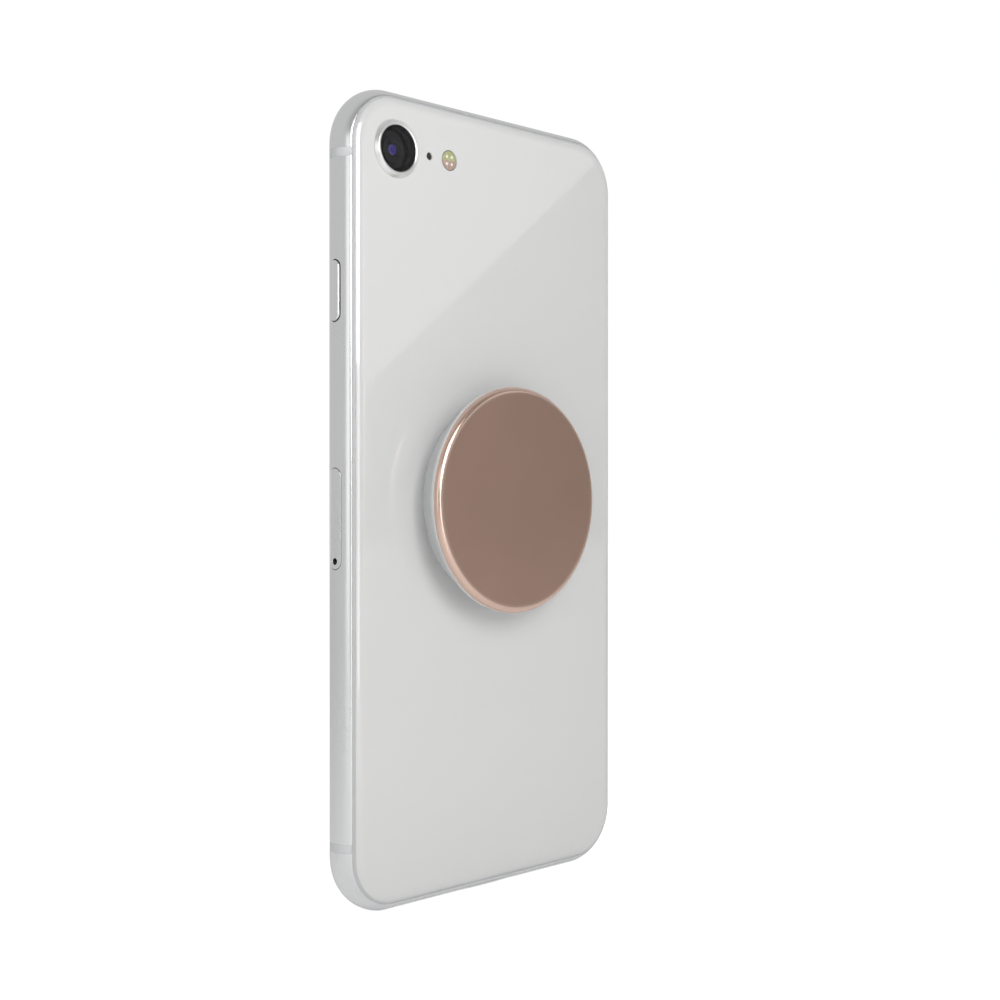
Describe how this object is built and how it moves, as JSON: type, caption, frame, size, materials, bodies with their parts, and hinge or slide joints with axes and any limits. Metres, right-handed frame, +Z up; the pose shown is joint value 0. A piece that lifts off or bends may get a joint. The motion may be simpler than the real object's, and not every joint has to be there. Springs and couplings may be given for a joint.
{
  "type": "smartphone",
  "caption": "Slim glass-backed smartphone with rounded metal frame, side keys, card tray, rear camera and flash, and a round folding finger grip on its back",
  "frame": {"origin": "centre of the outer face of the front glass", "axes": "+Z runs up the length of the phone to the earpiece end, +X to the power-key side, +Y through the thickness out of the back; the screen faces -Y"},
  "size_m": [0.0676, 0.0138, 0.1384],
  "materials": {
    "satin_metal": "satin blasted",
    "polished_metal": "polished",
    "grey_polymer": "matte",
    "inner_steel": "stamped",
    "rear_glass": "glossy, backed with white",
    "front_glass": "glossy",
    "display": "glossy black",
    "flex_copper": "amber film",
    "dark_mesh": "woven",
    "black_plastic": "matte",
    "white_ceramic": "glossy",
    "lens_glass": "polished",
    "lens_coated": "violet coating",
    "clear_lens": "fluted",
    "led_cool": "phosphor",
    "led_warm": "phosphor",
    "white_plastic": "matte",
    "battery_wrap": "wrapped film",
    "circuit_board": "solder mask",
    "copper": "wound copper",
    "gold_contact": "plated",
    "orange_plastic": "matte",
    "adhesive_foam": "foam",
    "grip_plastic": "satin",
    "grip_rubber": "soft",
    "rose_metal": "satin anodised"
  },
  "bodies": {
    "phone": {"side_frame": "satin_metal", "antenna_bands": "grey_polymer", "chassis_plate": "inner_steel", "rear_glass": "rear_glass", "rear_seal": "grey_polymer", "front_seal": "grey_polymer", "front_glass": "front_glass", "display_panel": "display", "display_shield": "inner_steel", "display_flex": "flex_copper", "earpiece_mesh": "dark_mesh", "earpiece_speaker": "black_plastic", "front_camera": "black_plastic", "proximity_sensor": "black_plastic", "home_key": "white_ceramic", "home_key_ring": "satin_metal", "home_key_bracket": "inner_steel", "camera_trim": "polished_metal", "camera_window": "lens_glass", "camera_module": "black_plastic", "camera_lens": "lens_coated", "flash_lens": "clear_lens", "flash_leds_cool": "led_cool", "flash_leds_warm": "led_warm", "flash_board": "white_plastic", "rear_microphone": "dark_mesh", "battery": "battery_wrap", "battery_tabs": "white_plastic", "battery_connector": "black_plastic", "logic_board": "circuit_board", "board_shields": "inner_steel", "board_brackets": "inner_steel", "inner_screws": "inner_steel", "charging_coil": "copper", "coil_ferrite": "black_plastic", "haptic_case": "inner_steel", "loudspeaker": "black_plastic", "speaker_meshes": "dark_mesh", "charge_port": "inner_steel", "port_contacts": "gold_contact", "case_screws": "polished_metal", "key_switches": "black_plastic", "mute_switch_body": "orange_plastic", "sim_reader": "inner_steel", "grip_adhesive": "adhesive_foam", "grip_base": "grip_plastic"},
    "power_key": {"power_key": "satin_metal"},
    "volume_up_key": {"volume_up_key": "satin_metal"},
    "volume_down_key": {"volume_down_key": "satin_metal"},
    "mute_slider": {"mute_slider": "satin_metal"},
    "sim_tray": {"sim_tray": "satin_metal", "sim_card": "gold_contact"},
    "sim_push_rod": {"sim_push_rod": "inner_steel"},
    "sim_eject_lever": {"sim_eject_lever": "inner_steel"},
    "haptic_mass": {"haptic_mass": "inner_steel"},
    "grip_swivel": {"grip_turntable": "grip_plastic", "grip_bellows": "grip_rubber"},
    "grip_top": {"grip_collar": "grip_plastic", "grip_carrier": "grip_plastic", "grip_cap": "rose_metal"}
  },
  "joints": [
    {"name": "power_key_press", "type": "slide", "parent": "phone", "child": "power_key", "axis": [-1, 0, 0], "range_m": [0, 0.0003], "stiffness_N_per_m": 400},
    {"name": "volume_up_press", "type": "slide", "parent": "phone", "child": "volume_up_key", "axis": [1, 0, 0], "range_m": [0, 0.0003], "stiffness_N_per_m": 400},
    {"name": "volume_down_press", "type": "slide", "parent": "phone", "child": "volume_down_key", "axis": [1, 0, 0], "range_m": [0, 0.0003], "stiffness_N_per_m": 400},
    {"name": "mute_slide", "type": "slide", "parent": "phone", "child": "mute_slider", "axis": [0, 1, 0], "range_m": [0, 0.0007]},
    {"name": "sim_tray_slide", "type": "slide", "parent": "phone", "child": "sim_tray", "axis": [1, 0, 0], "range_m": [0, 0.018]},
    {"name": "sim_rod_push", "type": "slide", "parent": "phone", "child": "sim_push_rod", "axis": [-1, 0, 0], "range_m": [0, 0.0012]},
    {"name": "sim_lever_turn", "type": "hinge", "parent": "phone", "child": "sim_eject_lever", "pos_m": [0.0122, 0.00365, -0.0069], "axis": [0, 1, 0], "range_deg": [0, 20]},
    {"name": "haptic_shake", "type": "slide", "parent": "phone", "child": "haptic_mass", "axis": [1, 0, 0], "range_m": [-0.001, 0.001], "stiffness_N_per_m": 100},
    {"name": "grip_turn", "type": "hinge", "parent": "phone", "child": "grip_swivel", "pos_m": [0, 0.0073, 0], "axis": [0, 1, 0], "continuous": true},
    {"name": "grip_extend", "type": "slide", "parent": "grip_swivel", "child": "grip_top", "axis": [0, 1, 0], "range_m": [0, 0.016], "deforming": ["grip_bellows"]}
  ],
  "couplings": [
    {"joint": "sim_lever_turn", "follows": "sim_rod_push", "rad_per_m": 290.89}
  ]
}
